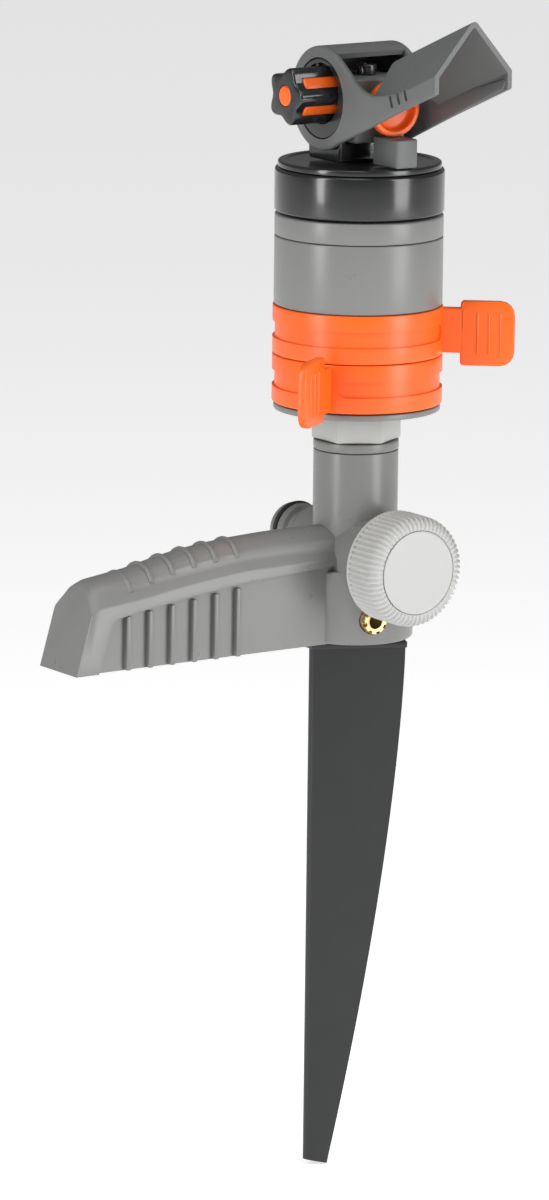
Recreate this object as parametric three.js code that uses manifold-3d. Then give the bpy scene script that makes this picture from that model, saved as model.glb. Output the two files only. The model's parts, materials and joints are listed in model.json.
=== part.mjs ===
// Part-circle sprinkler on a ground spike. Millimetres, +Z up.
// Origin: on the vertical turning axis, level with the underside of the base (ground level).
// The jet leaves towards -Y, the foot arm points to -X and the hose plug to +Y.
import * as THREE from 'three';
import { mergeVertices } from 'three/addons/utils/BufferGeometryUtils.js';
import Module from 'manifold-3d';

const wasm = await Module();
wasm.setup();

// ---- driving dimensions ----
const gap = 0.3;              // clearance between pieces that touch
const fine = 30;              // sides of a large round piece
const small = 14;             // sides of a small round piece

const spikeDepth = 220;       // spike tip below the base
const spikeCollar = 18;       // untapered top of the spike
const spineX = -19;           // spine centre of the spike
const spineRadius = 5;
const legReachX = 12;         // outer end of each leg, along X
const legReachY = 20;         // outer end of each leg, along Y
const legThick = 4;
const stubRadius = 8;
const stubHeight = 14;

const bossRadius = 24;
const bossHeight = 30;
const pipeRadius = 17.2;
const pipeTop = 77;
const pipeBore = 12;
const armLength = 142.5;
const armHalfWidth = 13.5;
const armWebHalf = 11;        // half thickness of the recessed web
const ribCount = 6;
const ribPitch = 10.44;
const ribInset = 24.2;         // first rib, from the far end of the arm
const ribThick = 2.3;

const valveZ = 33;
const barrelRadius = 18;
const barrelEnd = -24.5;
const valveBore = 12;
const inletZ = 36.5;           // hose plug axis
const inletBossRadius = 14.5;
const inletBossEnd = 24;
const inletBore = 9.2;
const inletTip = 46;

const knobRadius = 22.5;
const knobBack = -26.5;
const knobFront = -45;
const knobFaceRadius = 17.5;
const stemRadius = 4;

const collarHeight = 3.6;
const hexHeight = 12;
const hexRadius = 18;
const plateThick = 2.4;
const ringDepth = 3.2;        // arc ring face beyond the drum
const ringHeight = 19.6;
const housingInset = 0.4;     // housing inside the arc ring face
const plateInset = 0.7;       // bottom plate inside the arc ring face
const housingHeight = 27.8;
const topRingHeight = 8.7;
const wall = 2.4;

const capOver = 0.2;          // cap band beyond the housing
const capHeight = 17.5;
const discInset = 1.2;        // cap disc inside the cap band
const discThick = 2.5;

const tabStandOff = 8.1;      // thumb pad beyond the arc ring face
const tabLength = 20.9;
const tabThick = 3.4;
const tabHeight = 26.4;
const tabOver = 2.3;          // pad above its own ring
const upperTabAngle = -39;    // degrees from +X
const lowerTabAngle = -145;

const gearModule = 0.75;
const pinionTeeth = 10;
const wheelTeeth = 30;
const ringTeeth = 50;
const toothTip = 0.8;         // tooth height above the pitch circle, in modules
const trainRoom = 1.95;       // gear train to drum wall
const tubeRadius = 8;
const tubeBore = 5.5;

const pivotY = 2;
const pivotAbove = 25.7;      // deflector axis above the cap disc
const tilt = 22;              // deflector rise, degrees
const cheekRadius = 21;
const journalRadius = 16.1;
const cheekInner = 16;
const cheekOuter = 18.5;
const roofStart = 31;
const roofEnd = 87.5;
const ridgeHeight = 5.5;
const eaveHeight = -13;
const skirtDepth = -20;
const roofWall = 2;
const gripOuter = -35.5;
const gripInner = -13;
const gripAbovePivot = 2;
const nozzleRadius = 11.5;

// ---- radii, worked outwards from the gear train ----
const trainReach = gearModule * (pinionTeeth / 2 + wheelTeeth + toothTip);
const drumRadius = trainReach + trainRoom + wall;
const ringRadius = drumRadius + ringDepth;
const housingRadius = ringRadius - housingInset;
const plateRadius = ringRadius - plateInset;
const capRadius = housingRadius + capOver;
const discRadius = capRadius - discInset;
const tabInner = ringRadius + tabStandOff;
const tabOuter = tabInner + tabLength;

// ---- heights, stacked from the ground up ----
const collarBottom = pipeTop + gap;
const hexBottom = collarBottom + collarHeight + gap;
const plateBottom = hexBottom + hexHeight + gap;
const drumBottom = plateBottom + plateThick + gap;
const lowerRingBottom = drumBottom + gap;
const upperRingBottom = lowerRingBottom + ringHeight + gap;
const shoulder = upperRingBottom + ringHeight + gap;
const housingTop = shoulder + housingHeight;
const topRingBottom = housingTop + gap;
const capBottom = topRingBottom + topRingHeight + 1;
const capTop = capBottom + capHeight;
const discBottom = capTop + gap;
const discTop = discBottom + discThick;
const pivotZ = discTop + pivotAbove;
const headFloor = discTop + gap;
const gripRadius = journalRadius - 4.1;

// ---- geometry helpers ----
const radians = (degrees) => degrees * Math.PI / 180;

function solid(geometry) {
  const bare = geometry.clone();
  bare.deleteAttribute('normal');
  bare.deleteAttribute('uv');
  const merged = mergeVertices(bare, 1e-4);
  const index = Uint32Array.from(merged.index.array);
  const place = Float32Array.from(merged.attributes.position.array);
  let volume = 0;
  const corner = (i) => new THREE.Vector3(place[3 * i], place[3 * i + 1], place[3 * i + 2]);
  for (let i = 0; i < index.length; i += 3) {
    volume += corner(index[i]).dot(corner(index[i + 1]).cross(corner(index[i + 2])));
  }
  if (volume < 0) {
    index.reverse();
  }
  return new wasm.Manifold(new wasm.Mesh({ numProp: 3, vertProperties: place, triVerts: index }));
}

function geometryOf(body) {
  const mesh = body.getMesh();
  const geometry = new THREE.BufferGeometry();
  geometry.setAttribute('position', new THREE.BufferAttribute(Float32Array.from(mesh.vertProperties), 3));
  geometry.setIndex(new THREE.BufferAttribute(Uint32Array.from(mesh.triVerts), 1));
  geometry.computeVertexNormals();
  return geometry;
}

function join(...pieces) {
  return geometryOf(pieces.map(solid).reduce((sum, piece) => sum.add(piece)));
}

function cut(piece, ...tools) {
  return geometryOf(tools.map(solid).reduce((rest, tool) => rest.subtract(tool), solid(piece)));
}

function lathe(profile, sides = fine) {
  const points = profile.map(([r, z]) => new THREE.Vector2(r, z));
  return new THREE.LatheGeometry(points, sides).rotateX(Math.PI / 2);
}

function rod(radius, low, high, sides = small) {
  return new THREE.CylinderGeometry(radius, radius, high - low, sides)
    .rotateX(Math.PI / 2).translate(0, 0, (low + high) / 2);
}

function tube(outer, inner, low, high, sides = fine) {
  return lathe([[inner, low], [outer, low], [outer, high], [inner, high], [inner, low]], sides);
}

function block(x0, x1, y0, y1, z0, z1) {
  return new THREE.BoxGeometry(x1 - x0, y1 - y0, z1 - z0)
    .translate((x0 + x1) / 2, (y0 + y1) / 2, (z0 + z1) / 2);
}

// turns a piece made along +Z so that it lies along +Y, at a height
function alongY(geometry, height = 0) {
  return geometry.rotateX(-Math.PI / 2).translate(0, 0, height);
}

function alongX(geometry, y = 0, height = 0) {
  return geometry.rotateY(Math.PI / 2).translate(0, y, height);
}

function plate(points, low, high) {
  const shape = new THREE.Shape(points.map(([x, y]) => new THREE.Vector2(x, y)));
  return new THREE.ExtrudeGeometry(shape, { depth: high - low, bevelEnabled: false, curveSegments: 8 })
    .translate(0, 0, low);
}

// convex sections of equal point counts, skinned one after the other and closed at both ends
function skin(sections) {
  const count = sections[0].length;
  const place = sections.flat(2);
  const index = [];
  for (let s = 0; s + 1 < sections.length; s += 1) {
    for (let i = 0; i < count; i += 1) {
      const a = s * count + i;
      const b = s * count + (i + 1) % count;
      index.push(a, b, a + count, b, b + count, a + count);
    }
  }
  const last = (sections.length - 1) * count;
  for (let i = 1; i + 1 < count; i += 1) {
    index.push(0, i + 1, i, last, last + i, last + i + 1);
  }
  const geometry = new THREE.BufferGeometry();
  geometry.setAttribute('position', new THREE.Float32BufferAttribute(place, 3));
  geometry.setIndex(index);
  return geometry;
}

// gear outline: straight-flanked teeth with running clearance, first tooth at phase degrees
function teeth(count, phase, inward = false) {
  const pitch = gearModule * count / 2;
  const side = inward ? -1 : 1;
  const root = pitch - side * 1.15 * gearModule;
  const tip = pitch + side * toothTip * gearModule;
  const step = 2 * Math.PI / count;
  const points = [];
  for (let i = 0; i < count; i += 1) {
    const middle = radians(phase) + i * step;
    for (const [radius, share] of [[root, -0.27], [tip, -0.1], [tip, 0.1], [root, 0.27]]) {
      const angle = middle + share * step;
      points.push([radius * Math.cos(angle), radius * Math.sin(angle)]);
    }
  }
  return points;
}

function gear(count, phase, low, high) {
  return plate(teeth(count, phase), low, high);
}

// ---- materials ----
const finish = (color, roughness, metalness = 0) =>
  new THREE.MeshStandardMaterial({ color, roughness, metalness });
const bodyGrey = finish(0x8f8f8c, 0.45);
const headGrey = finish(0x626565, 0.5);
const paleGrey = finish(0xd4d4d2, 0.45);
const fittingGrey = finish(0xb0b0ae, 0.4);
const gloss = finish(0x2c2d2e, 0.3);
const spikeBlack = finish(0x38383a, 0.5);
const orange = finish(0xf05820, 0.35);
const rubber = finish(0x151515, 0.8);
const brass = finish(0xd9b36a, 0.3, 1);
const steel = finish(0xb8bcc0, 0.3, 1);
const innerWhite = finish(0xe6e6e0, 0.5);

const sprinkler = new THREE.Group();

function add(name, geometry, material) {
  const mesh = new THREE.Mesh(geometry, material);
  mesh.name = name;
  sprinkler.add(mesh);
  return mesh;
}

// ---- ground spike ----
function spikeLeg(side) {
  const sectionAt = (z, share) => {
    const from = new THREE.Vector2(spineX, 0);
    const to = new THREE.Vector2(legReachX, side * legReachY).sub(from).multiplyScalar(share).add(from);
    const across = to.clone().sub(from).normalize().multiplyScalar(legThick / 2);
    return [
      [from.x - across.y, from.y + across.x, z],
      [from.x + across.y, from.y - across.x, z],
      [to.x + across.y, to.y - across.x, z],
      [to.x - across.y, to.y + across.x, z],
    ];
  };
  return skin([
    sectionAt(-spikeDepth + 4, 0.22),
    sectionAt(-spikeCollar, 1),
    sectionAt(-gap, 1),
  ]);
}
const spine = rod(spineRadius, -spikeDepth, -gap).translate(spineX, 0, 0);
const spikeCap = plate([
  [spineX, -spineRadius], [legReachX, -legReachY], [legReachX + 2, 0],
  [legReachX, legReachY], [spineX, spineRadius],
], -gap - 3, -gap);
const stub = rod(stubRadius, -gap - 1, stubHeight);
add('spike', join(spine, spikeLeg(-1), spikeLeg(1), spikeCap, stub), spikeBlack);

// ---- base: boss, standpipe, valve barrel, inlet boss and foot arm in one moulding ----
function armSection(x, edge, crest) {
  const half = armHalfWidth;
  return [
    [x, -half, 0], [x, half, 0], [x, half, edge - 3], [x, half - 3.5, edge],
    [x, 5, crest - 1.5], [x, -5, crest - 1.5], [x, 3.5 - half, edge], [x, -half, edge - 3],
  ];
}
const nose = armSection(-armLength, 27, 30);
for (const point of nose) {
  point[0] += point[2] * 0.28;
}
const arm = skin([
  nose,
  armSection(32.5 - armLength, 31.7, 38.5),
  armSection(57.5 - armLength, 35.5, 43.5),
  armSection(82.5 - armLength, 38, 46),
  armSection(-30, 38.5, 47),
  armSection(0, 38.5, 47),
]);
const recess = (side) => {
  const outline = [
    [11.5 - armLength, -1], [17.5 - armLength, 20], [30.5 - armLength, 23.3],
    [57.5 - armLength, 27], [80.5 - armLength, 30], [-18, 32.5], [-18, -1],
  ];
  const depth = armHalfWidth - armWebHalf;
  const low = side < 0 ? armWebHalf : -armWebHalf - depth - 1;
  return plate(outline, low, low + depth + 1).rotateX(Math.PI / 2);
};
const ribs = [];
for (let i = 0; i < ribCount; i += 1) {
  const x = ribInset - armLength + i * ribPitch;
  ribs.push(block(x, x + ribThick, -armHalfWidth, armHalfWidth, 0, 22 + 1.2 * i));
}
const baseOuter = join(
  cut(arm, recess(-1), recess(1)),
  ...ribs,
  rod(bossRadius, 0, bossHeight, fine),
  rod(pipeRadius, 2, pipeTop, fine),
  alongY(rod(barrelRadius, barrelEnd, 0, fine), valveZ),
  alongY(rod(inletBossRadius, 0, inletBossEnd, fine), inletZ),
);
const insertX = -6;
const insertZ = 10.3;
const insertRadius = 5.5;
const insertDepth = 8;
add('base_body', cut(
  baseOuter,
  rod(pipeBore, valveZ, pipeTop + 1, small),
  alongY(rod(valveBore, barrelEnd - 1, -2, small), valveZ),
  alongY(rod(inletBore, 0, inletBossEnd + 1, small), inletZ),
  rod(stubRadius + gap, -1, stubHeight + gap, small),
  alongY(rod(insertRadius + gap, -bossRadius - 1, -bossRadius + insertDepth, small), insertZ)
    .translate(insertX, 0, 0),
), bodyGrey);
add('brass_insert', alongY(
  tube(insertRadius, insertRadius - 2.4, -bossRadius - 0.6, -bossRadius + insertDepth - gap, small), insertZ,
).translate(insertX, 0, 0), brass);

// ---- flow valve ----
const plugEnd = -3;
const stemBack = -10;
add('valve_gland', alongY(
  tube(valveBore - gap, stemRadius + gap, barrelEnd + 0.3, barrelEnd + 4.5, small), valveZ), fittingGrey);
add('valve_plug', cut(
  alongY(rod(valveBore - 1, stemBack + 1.3, plugEnd, small), valveZ),
  alongY(rod(3.4, stemBack, plugEnd + 1, small), valveZ + 6),
), innerWhite);
add('valve_stem', alongY(rod(stemRadius, knobFront + 7, stemBack + 1, small), valveZ), steel);
add('stem_o_ring', alongY(
  tube(stemRadius + 3, stemRadius + 0.1, -18.5, -16, small), valveZ), rubber);
add('valve_knob', cut(
  alongY(lathe([
    [0, knobFront], [knobFaceRadius + 1, knobFront], [knobRadius - 0.8, knobFront + 3],
    [knobRadius, knobFront + 6], [knobRadius, knobBack], [0, knobBack],
  ], 30), valveZ),
  alongY(tube(knobRadius - wall, stemRadius + 4, knobFront + 7, knobBack + 1, 24), valveZ),
  alongY(rod(stemRadius + 0.15, knobFront + 6.7, knobBack + 1, small), valveZ),
  alongY(rod(knobFaceRadius - 1, knobFront - 1, knobFront + 1.8, fine), valveZ),
  alongY(rod(3, knobFront - 1, knobFront + 8, small), valveZ),
), paleGrey);
add('knob_cap', alongY(rod(knobFaceRadius - 1.3, knobFront - 0.2, knobFront + 1.5, fine), valveZ), paleGrey);
add('knob_screw', alongY(rod(2.6, knobFront + 2, knobFront + 6.6, small), valveZ), steel);

// ---- hose plug ----
const plugBack = inletBossEnd + gap;
const grooveY = 40;
add('inlet_connector', alongY(lathe([
  [6.8, inletBossEnd - 12], [inletBore - gap, inletBossEnd - 12], [inletBore - gap, plugBack],
  [13, plugBack], [13, plugBack + 3], [11.3, plugBack + 6], [9.3, plugBack + 8], [9.3, plugBack + 11],
  [11.2, plugBack + 12], [11.2, grooveY], [9.3, grooveY], [9.3, grooveY + 3.2], [11.2, grooveY + 3.2],
  [10.4, inletTip], [6.8, inletTip], [6.8, inletBossEnd - 12],
], 20), inletZ), bodyGrey);
add('inlet_o_ring', alongY(
  tube(11.4, 9.5, grooveY + 0.4, grooveY + 2.8, 20), inletZ), rubber);
add('inlet_filter', alongY(lathe([
  [0, 30], [4, 30], [6.2, inletTip - 6], [6.5, inletTip - 3], [5.4, inletTip - 3], [3.2, 31], [0, 31],
], small), inletZ), innerWhite);

// ---- fitting stack under the drive body ----
const fittingBore = 10;
add('riser_collar', tube(pipeRadius + 0.1, pipeBore, collarBottom, collarBottom + collarHeight), bodyGrey);
const washerTop = hexBottom + hexHeight - 1.5;
add('hex_fitting', cut(
  rod(hexRadius, hexBottom, hexBottom + hexHeight, 6),
  rod(fittingBore, hexBottom - 1, hexBottom + hexHeight + 1, small),
  rod(fittingBore + 3, washerTop, hexBottom + hexHeight + 1, small),
), fittingGrey);
add('fitting_washer', tube(fittingBore + 2.7, fittingBore - 1, washerTop + gap, plateBottom - gap, small), rubber);
add('bottom_plate', tube(plateRadius, fittingBore, plateBottom, plateBottom + plateThick), bodyGrey);

// ---- fixed drive body ----
const drumInner = drumRadius - wall;
const topBore = 12.3;
add('housing', lathe([
  [drumInner, drumBottom], [drumRadius, drumBottom], [drumRadius, shoulder],
  [housingRadius - 0.5, shoulder], [housingRadius, shoulder + 1], [housingRadius, housingTop],
  [topBore, housingTop], [topBore, housingTop - wall], [drumInner, housingTop - wall],
  [drumInner, drumBottom],
]), bodyGrey);
add('housing_top_ring', lathe([
  [topBore, topRingBottom], [housingRadius, topRingBottom], [housingRadius, capBottom - 1.5],
  [housingRadius - 0.6, capBottom - 1], [topBore, capBottom - 1], [topBore, topRingBottom],
]), bodyGrey);
add('output_bush', tube(topBore - gap, tubeRadius + 0.4, housingTop - wall, topRingBottom + 4, 32), innerWhite);
add('output_seal', tube(topBore - gap, tubeRadius + 0.4, topRingBottom + 4.3, capBottom - 1.3, 32), rubber);

// ---- arc rings with thumb tabs ----
function arcRing(low, padLow, angle) {
  const half = tabThick / 2;
  const ring = tube(ringRadius, drumRadius + gap, low, low + ringHeight, 36);
  const strap = block(drumRadius + 1.2, tabInner + 2, -half, half, low + 1, low + ringHeight - 1);
  const round = 5;
  const outline = [[tabInner, 0]];
  for (let corner = 0; corner < 2; corner += 1) {
    for (let step = 0; step <= 3; step += 1) {
      const turn = radians(-90 + corner * 90 + step * 30);
      const centreZ = corner === 0 ? round : tabHeight - round;
      outline.push([tabOuter - round + round * Math.cos(turn), centreZ + round * Math.sin(turn)]);
    }
  }
  outline.push([tabInner, tabHeight]);
  const pad = plate(outline, -half, half).rotateX(Math.PI / 2).translate(0, 0, padLow);
  return join(ring, strap, pad).rotateZ(radians(angle));
}
add('upper_ring', arcRing(
  upperRingBottom, upperRingBottom + ringHeight + tabOver - tabHeight, upperTabAngle), orange);
add('lower_ring', arcRing(lowerRingBottom, lowerRingBottom - tabOver, lowerTabAngle), orange);

// ---- turbine and gear train ----
const centreDistance = gearModule * (pinionTeeth + wheelTeeth) / 2;
const arborRadius = 1.2;
const shaftRadius = 1.5;
const runClear = 0.2;
const plateRim = drumInner - gap;
const statorBottom = drumBottom + 2;
const turbineBottom = statorBottom + 3;
const turbineHeight = 5;
const lowerPlateBottom = turbineBottom + turbineHeight + 1.5;
const plateGauge = 1.6;
const trainBottom = lowerPlateBottom + plateGauge + 1;
const trainGap = 0.6;
const wheelHeight = 3;
const secondLevel = trainBottom + wheelHeight + trainGap;
const upperPlateBottom = secondLevel + wheelHeight + 1.4;
const pinionLevel = upperPlateBottom + plateGauge + 1;
const ringLevel = pinionLevel + wheelHeight + trainGap;
const arborB = [centreDistance * Math.cos(radians(60)), centreDistance * Math.sin(radians(60))];
const halfWheelPitch = 180 / wheelTeeth;
const leverX = 12.5 - plateRim;
const sideHoleReach = plateRim - 4;
const leverY = -7;

const ports = (count, radius, distance, low, high) => {
  const tools = [];
  for (let i = 0; i < count; i += 1) {
    const turn = radians(i * 360 / count + 200);
    tools.push(rod(radius, low, high, 10).translate(distance * Math.cos(turn), distance * Math.sin(turn), 0));
  }
  return tools;
};
add('stator', cut(
  rod(plateRim, statorBottom, statorBottom + 2, fine),
  ...ports(6, 2, 13, statorBottom - 1, statorBottom + 3),
), innerWhite);
const blades = [];
for (let i = 0; i < 10; i += 1) {
  blades.push(block(4, 14, -0.6, 0.6, turbineBottom, turbineBottom + turbineHeight)
    .rotateZ(radians(i * 36)));
}
add('turbine_wheel', cut(
  join(rod(5, turbineBottom, turbineBottom + turbineHeight), ...blades),
  rod(shaftRadius + 0.15, turbineBottom - 1, turbineBottom + turbineHeight + 1, 12),
), innerWhite);
add('turbine_shaft', rod(shaftRadius, turbineBottom - 0.6, secondLevel - 0.2, 12), steel);
add('turbine_pinion', cut(
  gear(pinionTeeth, 0, trainBottom, trainBottom + wheelHeight),
  rod(shaftRadius + 0.15, trainBottom - 1, trainBottom + wheelHeight + 1, 12),
), brass);
const sideHoles = [150, 270, 30];
const lowerPlate = cut(
  rod(plateRim, lowerPlateBottom, lowerPlateBottom + plateGauge, fine),
  rod(shaftRadius + runClear, 0, pivotZ, 12),
  rod(arborRadius + 0.15, 0, pivotZ, 10).translate(centreDistance, 0, 0),
  rod(arborRadius + 0.15, 0, pivotZ, 10).translate(arborB[0], arborB[1], 0),
  rod(arborRadius + 0.15, 0, pivotZ, 10).translate(leverX, leverY, 0),
  ...sideHoles.map((turn) => rod(2.5, 0, pivotZ, 10)
    .translate(sideHoleReach * Math.cos(radians(turn)), sideHoleReach * Math.sin(radians(turn)), 0)),
);
add('gear_plate_lower', lowerPlate, innerWhite);
add('gear_plate_upper', cut(
  rod(plateRim, upperPlateBottom, upperPlateBottom + plateGauge, fine),
  rod(arborRadius + 0.15, 0, pivotZ, 10).translate(centreDistance, 0, 0),
  rod(shaftRadius + runClear, 0, pivotZ, 12).translate(arborB[0], arborB[1], 0),
  rod(arborRadius + 0.15, 0, pivotZ, 10).translate(leverX, leverY, 0),
  ...sideHoles.map((turn) => rod(2.5, 0, pivotZ, 10)
    .translate(sideHoleReach * Math.cos(radians(turn)), sideHoleReach * Math.sin(radians(turn)), 0)),
), innerWhite);
add('gear_arbor', rod(arborRadius, lowerPlateBottom, upperPlateBottom + plateGauge, 10)
  .translate(centreDistance, 0, 0), steel);
add('lever_pin', rod(arborRadius, lowerPlateBottom, upperPlateBottom + plateGauge, 10)
  .translate(leverX, leverY, 0), steel);
add('gear_a', cut(
  join(
    gear(wheelTeeth, 180 + halfWheelPitch, trainBottom, trainBottom + wheelHeight),
    gear(pinionTeeth, 120, trainBottom + wheelHeight - 0.2, secondLevel + wheelHeight),
  ),
  rod(arborRadius + runClear, trainBottom - 1, secondLevel + wheelHeight + 1, 10),
).translate(centreDistance, 0, 0), innerWhite);
add('gear_b', join(
  gear(wheelTeeth, 300 + halfWheelPitch, secondLevel, secondLevel + wheelHeight),
  rod(shaftRadius, lowerPlateBottom + plateGauge + 0.4, ringLevel - 0.4, 12),
).translate(arborB[0], arborB[1], 0), innerWhite);
add('output_pinion', cut(
  gear(pinionTeeth, 60, pinionLevel, pinionLevel + wheelHeight),
  rod(shaftRadius + 0.15, pinionLevel - 1, pinionLevel + wheelHeight + 1, 12),
).translate(arborB[0], arborB[1], 0), brass);

// reversing lever: rocks on its pin, held over centre by a small coil spring
const leverOuter = 3.4;
add('reversing_lever', cut(
  join(
    rod(leverOuter, trainBottom, trainBottom + 4),
    block(-1.5, 1.5, -9, 0, trainBottom, trainBottom + 4),
    block(-1.2, 6, -1.2, 1.2, trainBottom, trainBottom + 3),
  ),
  rod(arborRadius + runClear, trainBottom - 1, trainBottom + 5, 12),
).translate(leverX, leverY, 0), orange);
class Helix extends THREE.Curve {
  getPoint(share) {
    const turn = share * Math.PI * 2 * 3;
    return new THREE.Vector3(2.6 * Math.cos(turn), 2.6 * Math.sin(turn), share * 3);
  }
}
const wire = new THREE.Shape(Array.from({ length: 5 }, (_, i) =>
  new THREE.Vector2(0.35 * Math.cos(i * Math.PI / 2.5), 0.35 * Math.sin(i * Math.PI / 2.5))));
add('trip_spring', new THREE.ExtrudeGeometry(wire, { extrudePath: new Helix(), steps: 30 })
  .translate(leverX, leverY, trainBottom + 4.7), steel);

// ---- turning head ----
const ringGearOuter = gearModule * ringTeeth / 2 + 4;
const halfRingPitch = 180 / ringTeeth;
add('ring_gear', join(
  cut(
    rod(ringGearOuter, pinionLevel, ringLevel + 0.5, fine),
    plate(teeth(ringTeeth, 60 + halfRingPitch, true), pinionLevel - 1, ringLevel + 1),
  ),
  tube(ringGearOuter, tubeRadius + 0.15, ringLevel, ringLevel + 2),
  tube(tubeRadius + 3, tubeRadius + 0.15, ringLevel, ringLevel + 8, 32),
), innerWhite);
add('centre_tube', tube(tubeRadius, tubeBore, ringLevel, capTop - 3, 32), innerWhite);
add('cap_band', cut(
  lathe([
    [0, capBottom], [capRadius - 0.8, capBottom], [capRadius, capBottom + 0.8],
    [capRadius, capTop - 1.2], [capRadius - 1.2, capTop], [0, capTop],
  ]),
  rod(capRadius - wall, capBottom - 1, capTop - wall, fine),
  rod(tubeBore, capBottom, capTop + 1, small),
), gloss);
add('cap_disc', lathe([
  [tubeBore, discBottom], [discRadius, discBottom], [discRadius, discTop - 0.8],
  [discRadius - 0.8, discTop], [tubeBore, discTop], [tubeBore, discBottom],
]), gloss);

// bracket: pedestal and two round journals that carry the deflector
const bracketHalf = 15.5;
const bracketInner = 12.5;
const journalEnd = 18.2;
const gripZ = pivotZ + gripAbovePivot;
const pedestalTop = headFloor + 8;
const bracketSide = (side) => {
  const low = Math.min(side * bracketInner, side * bracketHalf);
  const high = Math.max(side * bracketInner, side * bracketHalf);
  return block(low, high, pivotY - 10, pivotY + 12, headFloor, pivotZ - 4);
};
add('head_bracket', cut(
  join(
    block(-bracketHalf, bracketHalf, pivotY - 10, pivotY + 12, headFloor, pedestalTop),
    bracketSide(-1), bracketSide(1),
    alongX(rod(journalRadius, -journalEnd, -bracketInner, fine), pivotY, pivotZ),
    alongX(rod(journalRadius, bracketInner, journalEnd, fine), pivotY, pivotZ),
  ),
  alongX(rod(gripRadius + 0.4, -journalEnd - 1, -bracketInner + 1, fine), pivotY, gripZ),
  alongX(rod(3, bracketInner - 1, journalEnd - 2, small), pivotY, gripZ),
  rod(tubeBore, headFloor - 1, pedestalTop + 1, small),
), gloss);
const jetY = pivotY - 24;
const jetZ = pivotZ - 2;
add('nozzle_body', cut(
  block(-bracketInner + gap, bracketInner - gap, pivotY - 16, pivotY + 10, pedestalTop + gap, pivotZ + 9),
  alongX(rod(3, -20, 20, small), pivotY, gripZ),
  rod(tubeBore, headFloor, jetZ - 2, small),
  alongY(rod(3.2, pivotY - 20, pivotY, small), jetZ - 4),
), headGrey);
add('bracket_pin', rod(4, pivotZ + 9 + gap, pivotZ + 13.5).translate(0, pivotY - 6, 0), gloss);
add('nozzle_insert', cut(
  alongY(rod(nozzleRadius, jetY - 3, jetY + 4.5, 32), jetZ),
  alongY(rod(nozzleRadius - 2.2, jetY - 4, jetY + 1, 24), jetZ),
  alongY(rod(2, jetY - 5, jetY + 6, 12), jetZ - 2),
), orange);
add('riser_post', block(-5, 5, jetY - 11, jetY + 6, headFloor, jetZ - nozzleRadius - gap), headGrey);

// ---- deflector ----
// made about its own pivot with the jet along -Y, then tilted up
function deflector() {
  const outline = [[8, skirtDepth + 0.6], [roofEnd - 11, skirtDepth + 1], [roofEnd - 10.5, eaveHeight - 2],
    [44, eaveHeight + 3], [34, eaveHeight + 4], [27, -4], [19, 8]];
  for (let turn = 60; turn <= 250; turn += 10) {
    outline.push([cheekRadius * Math.cos(radians(turn)), cheekRadius * Math.sin(radians(turn))]);
  }
  const cheek = (from, to) => plate(outline.map(([u, w]) => [-u, w]), from, to)
    .rotateX(Math.PI / 2).rotateZ(Math.PI / 2);
  const bore = alongX(rod(journalRadius + gap, -30, 30, fine));
  const arc = [];
  const arcSteps = 12;
  const arcPoint = (radius, i) => {
    const turn = radians(41 + i * 124 / arcSteps);
    return [-radius * Math.cos(turn), radius * Math.sin(turn)];
  };
  for (let i = 0; i <= arcSteps; i += 1) {
    arc.push(arcPoint(cheekRadius - 0.1, i));
  }
  for (let i = arcSteps; i >= 0; i -= 1) {
    arc.push(arcPoint(cheekRadius - wall, i));
  }
  const bridge = plate(arc, -cheekInner - 1, cheekInner + 1).rotateX(Math.PI / 2).rotateZ(Math.PI / 2);
  const half = cheekOuter;
  const inner = half - roofWall;
  const section = [
    [-half, skirtDepth], [-half, eaveHeight], [-1.5, ridgeHeight], [1.5, ridgeHeight],
    [half, eaveHeight], [half, skirtDepth], [inner, skirtDepth], [inner, eaveHeight - 0.8],
    [0, ridgeHeight - 2.2], [-inner, eaveHeight - 0.8], [-inner, skirtDepth],
  ];
  const roof = plate(section, roofStart - 1, roofEnd + 6).rotateX(Math.PI / 2);
  const frontLean = Math.atan2(11.5, ridgeHeight - skirtDepth);
  const front = block(-30, 30, -60, 0, -80, 80).rotateX(frontLean)
    .translate(0, -roofEnd, ridgeHeight);
  const backLean = Math.atan2(17, ridgeHeight - eaveHeight);
  const back = block(-30, 30, 0, 60, -80, 80).rotateX(-backLean)
    .translate(0, -roofStart, ridgeHeight);
  return cut(join(cheek(cheekInner, cheekOuter), cheek(-cheekOuter, -cheekInner), bridge,
    cut(roof, front, back)), bore);
}
const shade = add('deflector', deflector(), headGrey);
shade.position.set(0, pivotY, pivotZ);
shade.rotation.x = -radians(tilt);

// ---- range knob ----
const lobes = 5;
const gripOutline = [];
for (let i = 0; i < lobes; i += 1) {
  for (const [share, radius] of [[-0.2, 1], [0, 1.02], [0.2, 1], [0.38, 0.8], [0.5, 0.77], [0.62, 0.8]]) {
    const turn = (i + share) * 2 * Math.PI / lobes - Math.PI / 2;
    gripOutline.push([gripRadius * 0.98 * radius * Math.cos(turn), gripRadius * 0.98 * radius * Math.sin(turn)]);
  }
}
const buttonRadius = 4.2;
const coreRadius = gripRadius - 2.4;
const gripFace = 4;           // thickness of the star-shaped face
const atGrip = (geometry) => alongX(geometry, pivotY, gripZ);
add('knob_grip', atGrip(cut(
  plate(gripOutline, gripOuter, gripInner),
  rod(coreRadius + gap, gripOuter + gripFace, gripInner + 1, fine),
  rod(buttonRadius + gap, gripOuter - 1, gripOuter + 3, small),
  rod(2.6, gripOuter, gripInner + 1, small),
)), gloss);
add('knob_core', atGrip(
  tube(coreRadius, 2.6, gripOuter + gripFace + gap, gripInner, fine)), orange);
add('knob_button', atGrip(rod(buttonRadius, gripOuter - 0.3, gripOuter + 2.7, small)), orange);
add('range_shaft', atGrip(rod(2.4, gripOuter + 3.2, journalEnd - 2.4, small)), steel);

export default sprinkler;
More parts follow.
